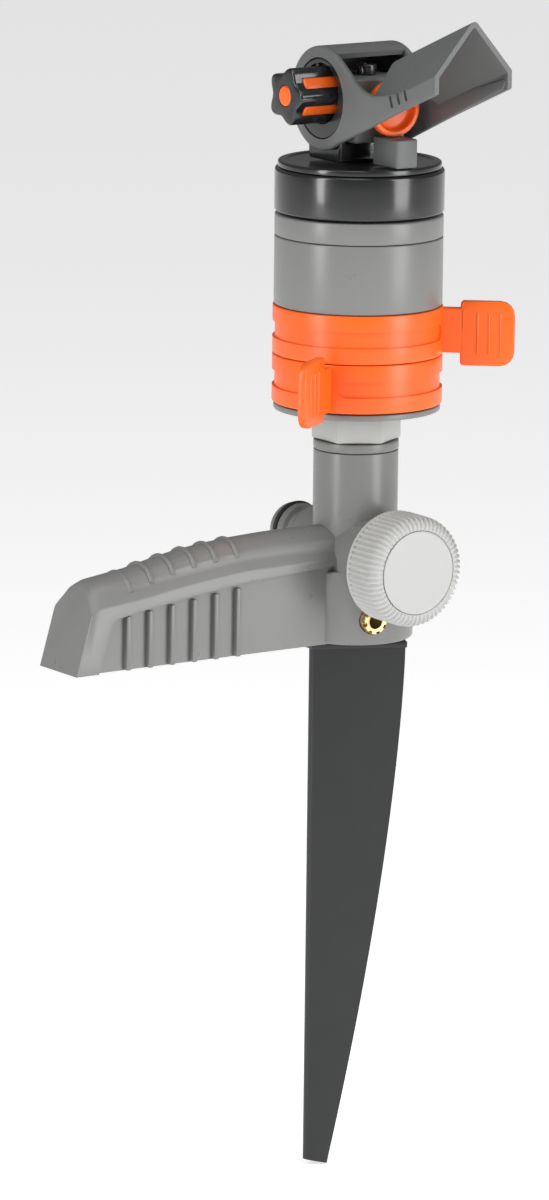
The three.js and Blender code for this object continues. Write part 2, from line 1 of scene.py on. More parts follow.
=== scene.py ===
# Part-circle lawn sprinkler on a ground spike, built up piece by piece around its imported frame.
# Outlines are in millimetres; finish_piece brings them to metres.
import json
import math

import bmesh
import bpy
from mathutils import Matrix, Vector


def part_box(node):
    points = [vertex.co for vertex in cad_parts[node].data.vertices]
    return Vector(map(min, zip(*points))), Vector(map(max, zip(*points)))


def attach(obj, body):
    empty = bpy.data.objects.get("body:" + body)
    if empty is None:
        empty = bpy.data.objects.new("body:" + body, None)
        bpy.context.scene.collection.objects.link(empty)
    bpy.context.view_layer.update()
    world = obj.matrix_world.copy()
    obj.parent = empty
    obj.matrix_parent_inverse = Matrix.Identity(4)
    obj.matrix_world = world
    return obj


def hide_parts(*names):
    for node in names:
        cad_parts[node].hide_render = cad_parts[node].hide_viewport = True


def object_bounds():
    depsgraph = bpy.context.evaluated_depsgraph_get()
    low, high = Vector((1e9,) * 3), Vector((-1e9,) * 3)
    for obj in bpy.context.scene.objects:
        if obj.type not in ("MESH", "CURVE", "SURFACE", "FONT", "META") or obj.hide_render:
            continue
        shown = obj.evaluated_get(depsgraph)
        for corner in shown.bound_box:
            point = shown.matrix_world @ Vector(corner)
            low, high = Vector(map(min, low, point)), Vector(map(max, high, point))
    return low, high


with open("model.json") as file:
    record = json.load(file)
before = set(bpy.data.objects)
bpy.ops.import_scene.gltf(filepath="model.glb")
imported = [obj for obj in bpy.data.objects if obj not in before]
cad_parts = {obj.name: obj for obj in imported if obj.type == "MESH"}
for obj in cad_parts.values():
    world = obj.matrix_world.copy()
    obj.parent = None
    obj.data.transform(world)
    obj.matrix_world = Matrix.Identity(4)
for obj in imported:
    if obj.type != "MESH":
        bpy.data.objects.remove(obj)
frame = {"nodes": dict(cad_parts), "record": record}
cad_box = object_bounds()


# Studio: a pale, faintly glowing floor at the spike's tip, two tall strip lamps and one overhead, a white
# backdrop, and a long lens at the left front, a little above the base.
CAMERA_AZIMUTH = -34.2
CAMERA_RISE = 11.5
CAMERA_ROLL = 0.67
CAMERA_DISTANCE = 2.95
CAMERA_LENS = 218
AIM_RIGHT = -0.0322
AIM_HEIGHT = 0.0137


def turned_direction(azimuth, rise):
    a = math.radians(azimuth)
    e = math.radians(rise)
    return Vector((math.sin(a) * math.cos(e), -math.cos(a) * math.cos(e), math.sin(e)))


def soft_lamp(name, azimuth, rise, distance, size, power):
    lamp = bpy.data.lights.new(name, "AREA")
    lamp.shape = "RECTANGLE"
    lamp.size, lamp.size_y = size
    lamp.energy = power
    holder = bpy.data.objects.new(name, lamp)
    place = turned_direction(azimuth, rise) * distance
    holder.location = place
    holder.rotation_euler = place.to_track_quat("Z", "Y").to_euler()
    bpy.context.scene.collection.objects.link(holder)


def place_camera():
    camera = bpy.data.cameras.new("camera")
    camera.lens = CAMERA_LENS
    camera.clip_end = 50
    holder = bpy.data.objects.new("camera", camera)
    towards = turned_direction(CAMERA_AZIMUTH, CAMERA_RISE)
    a = math.radians(CAMERA_AZIMUTH)
    right = Vector((math.cos(a), math.sin(a), 0))
    aim = right * AIM_RIGHT + Vector((0, 0, AIM_HEIGHT))
    roll = Matrix.Rotation(math.radians(CAMERA_ROLL), 3, "Z")
    turn = towards.to_track_quat("Z", "Y").to_matrix() @ roll
    holder.matrix_world = Matrix.Translation(aim + towards * CAMERA_DISTANCE) @ turn.to_4x4()
    bpy.context.scene.collection.objects.link(holder)
    bpy.context.scene.camera = holder


place_camera()
soft_lamp("key_lamp", -88, 22, 1.5, (0.3, 1.5), 13)
soft_lamp("fill_lamp", 24, 18, 1.6, (0.62, 1.5), 17)
soft_lamp("top_lamp", -20, 72, 1.6, (1.2, 1.0), 7)
world = bpy.data.worlds.new("studio")
world.use_nodes = True
backdrop = world.node_tree.nodes["Background"]
backdrop.inputs["Color"].default_value = (1, 1, 1, 1)
seen = world.node_tree.nodes.new("ShaderNodeLightPath")
glow = world.node_tree.nodes.new("ShaderNodeMapRange")
glow.inputs["To Min"].default_value = 0.16
glow.inputs["To Max"].default_value = 1.0
world.node_tree.links.new(seen.outputs["Is Camera Ray"], glow.inputs["Value"])
world.node_tree.links.new(glow.outputs["Result"], backdrop.inputs["Strength"])
bpy.context.scene.world = world
bpy.context.scene.view_settings.view_transform = "Standard"

floor_mesh = bpy.data.meshes.new("floor")
floor_build = bmesh.new()
bmesh.ops.create_grid(floor_build, x_segments=1, y_segments=1, size=20)
bmesh.ops.translate(floor_build, vec=(0, 0, cad_box[0][2] - 0.0005), verts=floor_build.verts)
floor_build.to_mesh(floor_mesh)
floor = bpy.data.objects.new("floor", floor_mesh)
bpy.context.scene.collection.objects.link(floor)
floor_finish = bpy.data.materials.new("floor")
floor_finish.use_nodes = True
floor_surface = floor_finish.node_tree.nodes["Principled BSDF"]
floor_surface.inputs["Base Color"].default_value = (0.93, 0.93, 0.93, 1)
floor_surface.inputs["Roughness"].default_value = 0.9
floor_surface.inputs["Emission Color"].default_value = (1, 1, 1, 1)
floor_surface.inputs["Emission Strength"].default_value = 0.6
floor_mesh.materials.append(floor_finish)


# Base moulding: boss, standpipe, valve barrel, hose boss and foot arm in one grey plastic shot.
# The arm is an open-sided beam with a crowned top, six grip ridges and six stiffening ribs a side.
class Wire:
    """A shader socket that sums, products and other nodes can be written on."""

    def __init__(self, tree, socket=None):
        self.tree = tree
        self.socket = socket

    def node(self, kind, inputs=(), output=0, **settings):
        made = self.tree.nodes.new("ShaderNode" + kind)
        stops = settings.pop("stops", None)
        for key, value in settings.items():
            setattr(made, key, value)
        if stops:
            ramp = made.color_ramp.elements
            for at, element in zip(stops, ramp):
                element.position = at[0]
                element.color = (*at[1], 1)
        for key, value in dict(inputs).items():
            if isinstance(value, Wire):
                self.tree.links.new(value.socket, made.inputs[key])
            else:
                made.inputs[key].default_value = value
        return Wire(self.tree, made.outputs[output])

    def reckon(self, operation, first, second):
        return self.node("Math", {0: first, 1: second}, operation=operation)

    def __add__(self, other):
        return self.reckon("ADD", self, other)

    def __sub__(self, other):
        return self.reckon("SUBTRACT", self, other)

    def __mul__(self, other):
        return self.reckon("MULTIPLY", self, other)


def blank_finish(name, **plain):
    made = bpy.data.materials.new(name)
    made.use_nodes = True
    surface = made.node_tree.nodes["Principled BSDF"]
    for key, value in plain.items():
        surface.inputs[key.replace("_", " ")].default_value = value
    return made, surface, Wire(made.node_tree)


def moulded(name, colour, roughness, grain=0.0, grain_size=1400, streak=0.05, coat=0.0):
    """Moulded plastic: even colour with faint flow marks, a fine eroded grain and worn-smooth patches."""
    made, surface, wire = blank_finish(name, Specular_IOR_Level=0.5, Coat_Weight=coat, Coat_Roughness=0.12)
    place = wire.node("TexCoord", output=3)
    flow = wire.node("TexNoise", {"Vector": place, "Scale": 22.0, "Detail": 4.0, "Distortion": 0.6}, output=0)
    patch = wire.node("TexNoise", {"Vector": place, "Scale": 90.0, "Detail": 3.0}, output=0)
    fleck = wire.node("TexNoise", {"Vector": place, "Scale": float(grain_size), "Detail": 2.0}, output=0)
    shade = (flow - 0.5) * (2 * streak) + (fleck - 0.5) * (0.5 * streak) + 1.0
    tint = wire.node("VectorMath", {0: tuple(colour), 3: shade}, operation="SCALE")
    made.node_tree.links.new(tint.socket, surface.inputs["Base Color"])
    gloss = (patch - 0.5) * 0.18 + (flow - 0.5) * 0.1 + roughness
    made.node_tree.links.new(gloss.socket, surface.inputs["Roughness"])
    height = fleck * grain + patch * 0.02
    bump = wire.node("Bump", {"Strength": 0.22, "Distance": 0.0002, "Height": height})
    made.node_tree.links.new(bump.socket, surface.inputs["Normal"])
    return made


def filleted(corners, closed=True):
    """Outline points with the corners rounded: each corner is (across, along, radius)."""
    count = len(corners)
    line = []
    for i, (x, y, radius) in enumerate(corners):
        ends = not closed and i in (0, count - 1)
        if radius <= 0 or ends:
            line.append((x, y))
            continue
        here = Vector((x, y))
        back = (Vector(corners[i - 1][:2]) - here).normalized()
        ahead = (Vector(corners[(i + 1) % count][:2]) - here).normalized()
        angle = back.angle(ahead)
        reach = radius / math.tan(angle / 2)
        middle = here + (back + ahead).normalized() * (radius / math.sin(angle / 2))
        start = here + back * reach - middle
        sweep = start.angle_signed(here + ahead * reach - middle)
        steps = 4
        for step in range(steps + 1):
            turn = Matrix.Rotation(-sweep * step / steps, 2)
            line.append(tuple(middle + turn @ start))
    return line


def turned(corners, steps=128, closed=False):
    """A turned shape about Z from (radius, height, corner radius) outline corners."""
    bm = bmesh.new()
    line = filleted(corners, closed)
    verts = [bm.verts.new((r, 0, z)) for r, z in line]
    count = len(verts)
    for i in range(count if closed else count - 1):
        bm.edges.new((verts[i], verts[(i + 1) % count]))
    bmesh.ops.spin(bm, geom=bm.verts[:] + bm.edges[:], cent=(0, 0, 0), axis=(0, 0, 1),
                   angle=math.tau, steps=steps, use_merge=True)
    bmesh.ops.remove_doubles(bm, verts=bm.verts, dist=0.001)
    bmesh.ops.recalc_face_normals(bm, faces=bm.faces)
    return bm


def slab(outline, low, high, bevel=0.0, steps=2):
    """A flat outline in X and Y, raised from low to high, with its rims rounded."""
    bm = bmesh.new()
    face = bm.faces.new([bm.verts.new((x, y, low)) for x, y in outline])
    raised = bmesh.ops.extrude_face_region(bm, geom=[face])
    up = [v for v in raised["geom"] if isinstance(v, bmesh.types.BMVert)]
    bmesh.ops.translate(bm, vec=(0, 0, high - low), verts=up)
    bmesh.ops.recalc_face_normals(bm, faces=bm.faces)
    if bevel:
        rims = [e for e in bm.edges if abs(e.verts[0].co.z - e.verts[1].co.z) < 1e-4]
        bmesh.ops.bevel(bm, geom=rims, offset=bevel, offset_type="OFFSET", affect="EDGES",
                        segments=steps, profile=0.5, material=-1)
    return bm


def brick(x0, x1, y0, y1, z0, z1, bevel=0.0, steps=2):
    bm = bmesh.new()
    bmesh.ops.create_cube(bm, size=1)
    bmesh.ops.scale(bm, vec=(x1 - x0, y1 - y0, z1 - z0), verts=bm.verts)
    bmesh.ops.translate(bm, vec=((x0 + x1) / 2, (y0 + y1) / 2, (z0 + z1) / 2), verts=bm.verts)
    if bevel:
        bmesh.ops.bevel(bm, geom=bm.edges[:], offset=bevel, offset_type="OFFSET", affect="EDGES",
                        segments=steps, profile=0.5, material=-1)
    return bm


def moved(bm, matrix):
    bmesh.ops.transform(bm, matrix=matrix, verts=bm.verts)
    return bm


def shifted(bm, x=0.0, y=0.0, z=0.0):
    return moved(bm, Matrix.Translation((x, y, z)))


def along_y(bm, height=0.0, side=1):
    """Lays a shape made along +Z so that it points to +Y, or to -Y with side -1."""
    lay = Matrix.Rotation(math.radians(-90 * side), 4, "X")
    return moved(bm, Matrix.Translation((0, 0, height)) @ lay)


def along_x(bm, y=0.0, height=0.0, side=1):
    lay = Matrix.Rotation(math.radians(90 * side), 4, "Y")
    return moved(bm, Matrix.Translation((0, y, height)) @ lay)


def rod(radius, low, high, rim=0.0, steps=96):
    return turned([(0, low, 0), (radius, low, rim), (radius, high, rim), (0, high, 0)], steps)


def pipe(outer, inner, low, high, rim=0.0, steps=128):
    return turned([(inner, low, rim), (outer, low, rim), (outer, high, rim), (inner, high, rim)],
                  steps, closed=True)


def scratch(bm, name):
    mesh = bpy.data.meshes.new(name)
    bm.to_mesh(mesh)
    bm.free()
    holder = bpy.data.objects.new(name, mesh)
    bpy.context.scene.collection.objects.link(holder)
    return holder


def worked(start, joins=(), cuts=()):
    """The first shape with others fused to it, then cutters taken away."""
    body = scratch(start, "work")
    tools = [(scratch(bm, "tool"), "UNION") for bm in joins]
    tools += [(scratch(bm, "tool"), "DIFFERENCE") for bm in cuts]
    for tool, action in tools:
        step = body.modifiers.new(action, "BOOLEAN")
        step.object = tool
        step.operation = action
        step.solver = "EXACT"
    depsgraph = bpy.context.evaluated_depsgraph_get()
    result = bmesh.new()
    result.from_mesh(body.evaluated_get(depsgraph).to_mesh())
    for holder in [body] + [tool for tool, _ in tools]:
        bpy.data.meshes.remove(holder.data)
    return result


def finish_piece(name, bm, material, body, nodes, crease=32, mm=0.001):
    """Brings a shape to metres and hands it over as a finished piece on its body."""
    bmesh.ops.scale(bm, vec=(mm, mm, mm), verts=bm.verts)
    bmesh.ops.dissolve_degenerate(bm, dist=1e-7, edges=bm.edges)
    mesh = bpy.data.meshes.new(name)
    bm.to_mesh(mesh)
    bm.free()
    mesh.shade_smooth()
    mesh.set_sharp_from_angle(angle=math.radians(crease))
    mesh.materials.append(material)
    piece = bpy.data.objects.new(name, mesh)
    bpy.context.scene.collection.objects.link(piece)
    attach(piece, body)
    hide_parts(*nodes)
    return piece


def reach(node, axis=2):
    """Lowest and highest place of a CAD node along one axis, in millimetres."""
    low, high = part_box(node)
    return low[axis] * 1000, high[axis] * 1000


VALVE_Z = 33
PLUG_Z = sum(reach("inlet_connector")) / 2
BOSS_RADIUS = 24
PIPE_RADIUS = 17.2
ARM_HALF = 13.5
WEB_HALF = 11
STATIONS = ((-110, 31.7, 38.5), (-97, 33.8, 41.3), (-85, 35.5, 43.5), (-72, 37, 45), (-60, 38, 46),
            (-45, 38.4, 46.7), (-30, 38.5, 47), (0, 38.5, 47))


def crown(y, edge, crest):
    """Height of the rounded top of the arm at a distance y from its middle."""
    rise = crest - edge
    radius = (100 + rise * rise) / (2 * rise)
    return crest - radius + math.sqrt(max(radius * radius - y * y, 0))


def arm_ring(bm, x, edge, crest, lean=0.0):
    side = [(ARM_HALF, 0), (ARM_HALF, edge - 4.2), (ARM_HALF - 0.5, edge - 3.2), (10.6, edge - 0.5)]
    across = [10 * math.sin(math.radians(a)) for a in range(75, -76, -15)]
    top = [(y, crown(y, edge, crest)) for y in across]
    line = side + top + [(-y, z) for y, z in reversed(side)]
    ring = [bm.verts.new((x + lean * z, y, z)) for y, z in line]
    return [bm.edges.new((ring[i - 1], ring[i])) for i in range(len(ring))]


def foot_arm():
    bm = bmesh.new()
    rings = [arm_ring(bm, -142.0, 27.5, 33.5, 0.29), arm_ring(bm, -141.3, 28.6, 34.6, 0.29)]
    rings.append(arm_ring(bm, -136, 29.6, 36.0, 0.22))
    rings += [arm_ring(bm, *station) for station in STATIONS]
    for first, second in zip(rings, rings[1:]):
        bmesh.ops.bridge_loops(bm, edges=first + second)
    bmesh.ops.contextual_create(bm, geom=rings[0])
    bmesh.ops.contextual_create(bm, geom=rings[-1])
    bmesh.ops.recalc_face_normals(bm, faces=bm.faces)
    return bm


def side_pocket(side):
    line = filleted([(-132, -2, 0), (-124.5, 21, 3), (-112, 23.5, 0), (-85, 27.3, 0), (-62, 30, 0),
                     (-18, 32.5, 0), (-18, -2, 0)])
    bm = slab(line, 0, 5)
    moved(bm, Matrix.Rotation(math.radians(90), 4, "X"))
    return shifted(bm, y=-WEB_HALF if side < 0 else WEB_HALF + 5)


def grip_ridge(x, edge, crest):
    """A rounded bar bent over the crown of the arm, with round ends."""
    rise = crest - edge
    radius = (100 + rise * rise) / (2 * rise)
    bm = bmesh.new()
    bmesh.ops.create_circle(bm, cap_ends=False, segments=12, radius=1.15)
    moved(bm, Matrix.Rotation(math.radians(90), 4, "X"))
    centre = Vector((x, 0, crest - radius - 0.15))
    shifted(bm, x, 0, crest - 0.15)
    bmesh.ops.rotate(bm, cent=centre, matrix=Matrix.Rotation(math.radians(-64), 3, "X"), verts=bm.verts)
    bmesh.ops.spin(bm, geom=bm.verts[:] + bm.edges[:], cent=centre, axis=(1, 0, 0),
                   angle=math.radians(128), steps=20)
    bmesh.ops.holes_fill(bm, edges=[e for e in bm.edges if e.is_boundary])
    bmesh.ops.recalc_face_normals(bm, faces=bm.faces)
    return bm


def crest_at(x):
    """Edge and crest heights of the arm at a place along it, between its stations."""
    for (x0, e0, c0), (x1, e1, c1) in zip(STATIONS, STATIONS[1:]):
        if x0 <= x <= x1:
            share = (x - x0) / (x1 - x0)
            return e0 + share * (e1 - e0), c0 + share * (c1 - c0)
    return STATIONS[0][1] - 0.2 * (STATIONS[0][0] - x), STATIONS[0][2] - 0.28 * (STATIONS[0][0] - x)


body_grey = moulded("body_grey", (0.2, 0.201, 0.196), 0.31, grain=0.3)
insert_low, insert_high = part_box("brass_insert")
insert_x = (insert_low.x + insert_high.x) * 500
insert_z = (insert_low.z + insert_high.z) * 500
joins = [rod(BOSS_RADIUS, 0, 30, 1.2), rod(PIPE_RADIUS, 3, reach("base_body")[1], 0.4)]
joins.append(along_y(rod(18, 0, 24.5, 0.8), VALVE_Z, -1))
joins.append(along_y(rod(14.5, 0, 24, 0.8), PLUG_Z))
for rib in range(6):
    x = -118.3 + 10.44 * rib
    joins.append(brick(x, x + 2.3, -ARM_HALF, ARM_HALF, 0, 22 + 1.2 * rib, 0.6))
for ridge in range(6):
    x = -114.6 + 10.24 * ridge
    joins.append(grip_ridge(x, *crest_at(x)))
cuts = [rod(12, VALVE_Z, 90, 0, 64), along_y(rod(9.2, 0, 30, 0, 64), PLUG_Z), rod(8.3, -2, 14.3, 0, 48)]
cuts.append(along_y(rod(12, 2, 30, 0, 64), VALVE_Z, -1))
cuts.append(shifted(along_y(rod(5.8, 16, 30, 0, 48), insert_z, -1), x=insert_x))
arm = worked(foot_arm(), cuts=[side_pocket(-1), side_pocket(1)])
finish_piece("base_moulding", worked(arm, joins, cuts), body_grey, "base", ["base_body"])


# Brass insert: a notched bush pressed into the front of the boss beside the flow knob.
# Turned from bar, with eight cuts milled across its rim.
def brass_metal():
    made, surface, wire = blank_finish("brass", Metallic=1.0)
    place = wire.node("TexCoord", output=3)
    cloud = wire.node("TexNoise", {"Vector": place, "Scale": 160.0, "Detail": 4.0})
    tint = wire.node("ValToRGB", {"Fac": cloud}, stops=[(0.3, (0.62, 0.42, 0.17)), (0.7, (0.9, 0.72, 0.42))])
    made.node_tree.links.new(tint.socket, surface.inputs["Base Color"])
    made.node_tree.links.new((cloud * 0.25 + 0.18).socket, surface.inputs["Roughness"])
    return made


def brass_bush():
    back, front = -reach("brass_insert", 1)[1], -reach("brass_insert", 1)[0]
    notches = []
    for cut in range(8):
        notch = brick(-0.8, 0.8, 4.4, 7, front - 2.2, front + 1)
        notches.append(moved(notch, Matrix.Rotation(math.radians(45 * cut + 12), 4, "Z")))
    return worked(pipe(5.5, 3.1, back, front, 0.3, 64), cuts=notches)


brass = brass_metal()
bush = shifted(along_y(brass_bush(), insert_z, -1), x=insert_x)
finish_piece("brass_bush", bush, brass, "base", ["brass_insert"])


# Ground spike: black glass-filled plastic, an angle section that narrows to the tip.
# Its rounded spine stays upright and a round stub on top plugs into the base.
def spike_shape():
    low, high = reach("spike")
    spine_x = -18.6
    bend = 2.6
    leg = math.atan2(20, 12 - spine_x)
    bm = bmesh.new()
    arc = [math.pi / 2 + leg + i * (math.pi - 2 * leg) / 8 for i in range(9)]
    line = [(12.0, 20.0)]
    line += [(spine_x + bend * math.cos(a), bend * math.sin(a)) for a in arc]
    line += [(12.0, -20.0)]
    top = [bm.verts.new((x, y, -0.4)) for x, y in line]
    row = [bm.edges.new(pair) for pair in zip(top, top[1:])]
    levels = [(low * i / 24, 1 - 0.8 * (i / 24) ** 1.55) for i in range(1, 25)]
    share = 1.0
    for height, wanted in levels:
        made = bmesh.ops.extrude_edge_only(bm, edges=row)["geom"]
        row = [e for e in made if isinstance(e, bmesh.types.BMEdge)]
        new = sorted({v for e in row for v in e.verts}, key=lambda v: v.co.y)
        bmesh.ops.translate(bm, vec=(0, 0, height - new[0].co.z), verts=new)
        shrink = Matrix.Translation((-spine_x, 0, 0))
        bmesh.ops.scale(bm, vec=(wanted / share, wanted / share, 1), space=shrink, verts=[new[0], new[-1]])
        share = wanted
        row = [e for e in row if abs(e.verts[0].co.z - e.verts[1].co.z) < 1e-4]
    bmesh.ops.recalc_face_normals(bm, faces=bm.faces)
    bmesh.ops.solidify(bm, geom=bm.faces[:], thickness=2.3)
    tip = Vector((spine_x, 0, low + 1.5))
    halves = bm.verts[:] + bm.edges[:] + bm.faces[:]
    bmesh.ops.bisect_plane(bm, geom=halves, dist=0.0001, plane_co=tip, plane_no=(-0.25, 0, -1),
                           clear_outer=True)
    bmesh.ops.holes_fill(bm, edges=[e for e in bm.edges if e.is_boundary])
    return bm, high


spike_black = moulded("spike_black", (0.014, 0.015, 0.015), 0.36, grain=0.8, grain_size=1800, streak=0.12)
spike, stub_top = spike_shape()
spike_cap = slab([(-23, -4), (12, -21), (14, 0), (12, 21), (-23, 4)], -3.3, -0.35, 0.5)
spike_all = worked(spike, [spike_cap, rod(8, -1.3, stub_top, 0.8, 64)])
finish_piece("ground_spike", spike_all, spike_black, "base", ["spike"])


# Flow knob: pale plastic cup with sixty fine flutes that run over its rounded front rim,
# and a smooth cap disc pressed into its face over the screw.
KNOB_RADIUS = 22.5
KNOB_FLUTES = 60


def fluted_cup():
    back, front = -reach("valve_knob", 1)[1], -reach("valve_knob", 1)[0]
    corners = [(0, back + 1, 0), (20, back + 1, 0), (20, back, 0.4), (KNOB_RADIUS, back, 0.5),
               (KNOB_RADIUS, back + 1.6, 0), (KNOB_RADIUS - 0.35, back + 1.9, 0),
               (KNOB_RADIUS - 0.35, back + 7, 0), (KNOB_RADIUS - 0.35, front, 4.2), (17.3, front, 0.3),
               (16.6, front - 1.4, 0), (0, front - 1.4, 0)]
    bm = turned(corners, 480)
    for v in bm.verts:
        radius = math.hypot(v.co.x, v.co.y)
        depth = v.co.z - back
        if radius > 17.8 and depth > 1.8:
            wave = math.cos(KNOB_FLUTES * math.atan2(v.co.y, v.co.x))
            grow = 0.55 * (abs(wave) ** 0.7) * math.copysign(1, wave) - 0.1
            v.co += Vector((v.co.x / radius, v.co.y / radius, 0.35 if depth > 12 else 0)) * grow
    return along_y(bm, VALVE_Z, -1)


pale_grey = moulded("pale_grey", (0.5, 0.505, 0.49), 0.4, grain=0.3, streak=0.03)
finish_piece("flow_knob", fluted_cup(), pale_grey, "valve", ["valve_knob"], 50)
cap_back, cap_front = -reach("knob_cap", 1)[1], -reach("knob_cap", 1)[0]
face = turned([(0, cap_back, 0), (16.4, cap_back, 0), (16.9, cap_front - 0.3, 0), (16.2, cap_front, 0.5),
               (0, cap_front + 0.25, 0)], 96)
finish_piece("flow_knob_cap", along_y(face, VALVE_Z, -1), pale_grey, "valve", ["knob_cap"])


# Hose plug: quick-connect nose in grey plastic with a locking groove, a black O-ring near its tip
# and a strainer inside. It screws into the back of the base.
def hose_plug():
    start, tip = reach("inlet_connector", 1)
    corners = [(6.8, start, 0), (8.9, start, 0), (8.9, 24.3, 0), (13, 24.3, 0.3), (13, 27, 0.8),
               (11.4, 30.3, 1), (9.3, 32.3, 0.6), (9.3, 35.3, 0.4), (11.2, 36.2, 0.3), (11.2, 40, 0.3),
               (9.3, 40, 0.2), (9.3, 43.2, 0.2), (11.2, 43.2, 0.5), (10.6, tip, 0.8), (6.8, tip, 0.4)]
    return along_y(turned(corners, 96, closed=True), PLUG_Z)


def seal_ring():
    bm = bmesh.new()
    bmesh.ops.create_circle(bm, cap_ends=False, segments=16, radius=1.25)
    moved(bm, Matrix.Translation((10.6, 0, 41.6)) @ Matrix.Rotation(math.radians(90), 4, "X"))
    bmesh.ops.spin(bm, geom=bm.verts[:] + bm.edges[:], cent=(0, 0, 0), axis=(0, 0, 1), angle=math.tau,
                   steps=96, use_merge=True)
    bmesh.ops.recalc_face_normals(bm, faces=bm.faces)
    return along_y(bm, PLUG_Z)


black_rubber = moulded("black_rubber", (0.012, 0.012, 0.012), 0.62, grain=0.6, streak=0.1)
finish_piece("hose_plug", hose_plug(), body_grey, "base", ["inlet_connector"])
finish_piece("hose_plug_ring", seal_ring(), black_rubber, "base", ["inlet_o_ring"])


# Fitting stack: a collar nut on the standpipe, a pale hexagon union, and the plate that closes the drive.
def hexagon():
    low, high = reach("hex_fitting")
    corners = [(18 * math.cos(math.radians(60 * i + 30)), 18 * math.sin(math.radians(60 * i + 30)))
               for i in range(6)]
    prism = slab(corners, low, high, 0.7)
    return worked(prism, cuts=[rod(10, low - 1, high + 1, 0, 48)])


fitting_grey = moulded("fitting_grey", (0.45, 0.45, 0.435), 0.38, grain=0.3, streak=0.04)
low, high = reach("riser_collar")
finish_piece("collar_nut", pipe(17.3, 12, low, high, 0.5), body_grey, "base", ["riser_collar"])
finish_piece("hex_union", hexagon(), fitting_grey, "base", ["hex_fitting"])
low, high = reach("bottom_plate")
plate = pipe(33.7, 10, low, high, 0.5, 160)
finish_piece("closing_plate", plate, body_grey, "base", ["bottom_plate"])


# Drive body: a grey cup with a thinner drum below, where the arc rings run, and a lid ring on top.
drum_low, housing_high = reach("housing")
shoulder = reach("upper_ring")[1] - 2
cup = turned([(28.8, drum_low, 0), (31.2, drum_low, 0.2), (31.2, shoulder, 0), (34, shoulder, 0.7),
              (34, housing_high, 0.6), (12.3, housing_high, 0), (12.3, housing_high - 2.4, 0),
              (28.8, housing_high - 2.4, 0.5)], 192, closed=True)
finish_piece("drive_cup", cup, body_grey, "base", ["housing"])
low, high = reach("housing_top_ring")
lid = turned([(12.3, low, 0), (34, low, 0.6), (34, high, 0.9), (12.3, high, 0)], 192, closed=True)
finish_piece("lid_ring", lid, body_grey, "base", ["housing_top_ring"])


# Arc rings: orange plastic bands with a groove round the middle that stops short of the thumb tab.
# The tab stands off on a strap and carries three grip ribs on each face.
RING_RADIUS = 34.4
RING_HEIGHT = 19.6
TAB_OVER = 2.3
GROOVE_HEIGHT = 6.6


def groove_cutter(middle, tab_angle, room=13):
    """A round-ended slot cut about the ring, leaving it plain next to the tab."""
    half = GROOVE_HEIGHT / 2
    bm = bmesh.new()
    line = [(33.4, middle - half), (37, middle - half), (37, middle + half), (33.4, middle + half)]
    verts = [bm.verts.new((r, 0, z)) for r, z in line]
    face = bm.faces.new(verts)
    bmesh.ops.rotate(bm, cent=(0, 0, 0), matrix=Matrix.Rotation(math.radians(tab_angle + room), 3, "Z"),
                     verts=bm.verts)
    bmesh.ops.spin(bm, geom=[face], cent=(0, 0, 0), axis=(0, 0, 1),
                   angle=math.radians(360 - 2 * room), steps=150)
    bmesh.ops.recalc_face_normals(bm, faces=bm.faces)
    return bm


def groove_end(middle, angle):
    end = along_x(rod(GROOVE_HEIGHT / 2, 33.4, 37, 0, 32), height=middle)
    return moved(end, Matrix.Rotation(math.radians(angle), 4, "Z"))


def thumb_tab(low, high, pad_low, pad_high, angle):
    pad = slab(filleted([(41.5, 0, 1.5), (63.4, 0, 6), (63.4, pad_high - pad_low, 6),
                         (41.5, pad_high - pad_low, 1.5)]), -1.7, 1.7, 0.7, 3)
    moved(pad, Matrix.Translation((0, 0, pad_low)) @ Matrix.Rotation(math.radians(90), 4, "X"))
    parts = [brick(32.3, 43, -1.7, 1.7, low + 0.6, high - 0.6, 0.6), pad]
    for rib in range(3):
        x = 48.5 + 4.6 * rib
        rail = rod(0.85, pad_low + 4.5, pad_high - 4.5, 0.7, 16)
        moved(rail, Matrix.Scale(2.5, 4, (0, 1, 0)))
        parts.append(shifted(rail, x))
    return [moved(part, Matrix.Rotation(math.radians(angle), 4, "Z")) for part in parts]


def arc_ring(node, angle, low):
    pad_low, pad_high = reach(node)
    high = low + RING_HEIGHT
    middle = (low + high) / 2
    band = turned([(31.5, low, 0.2), (RING_RADIUS, low, 0.6), (RING_RADIUS, high, 0.6), (31.5, high, 0.2)],
                  192, closed=True)
    cutters = [groove_cutter(middle, angle)]
    cutters += [groove_end(middle, angle + 13), groove_end(middle, angle - 13)]
    grooved = worked(band, cuts=cutters)
    return worked(grooved, thumb_tab(low, high, pad_low, pad_high, angle))


orange = moulded("orange", (0.92, 0.128, 0.008), 0.34, grain=0.12, streak=0.04)
upper_top = reach("upper_ring")[1] - TAB_OVER
finish_piece("upper_arc_ring", arc_ring("upper_ring", -39, upper_top - RING_HEIGHT), orange, "upper_ring",
             ["upper_ring"])
lower_low = reach("lower_ring")[0] + TAB_OVER
finish_piece("lower_arc_ring", arc_ring("lower_ring", -145, lower_low), orange, "lower_ring",
             ["lower_ring"])


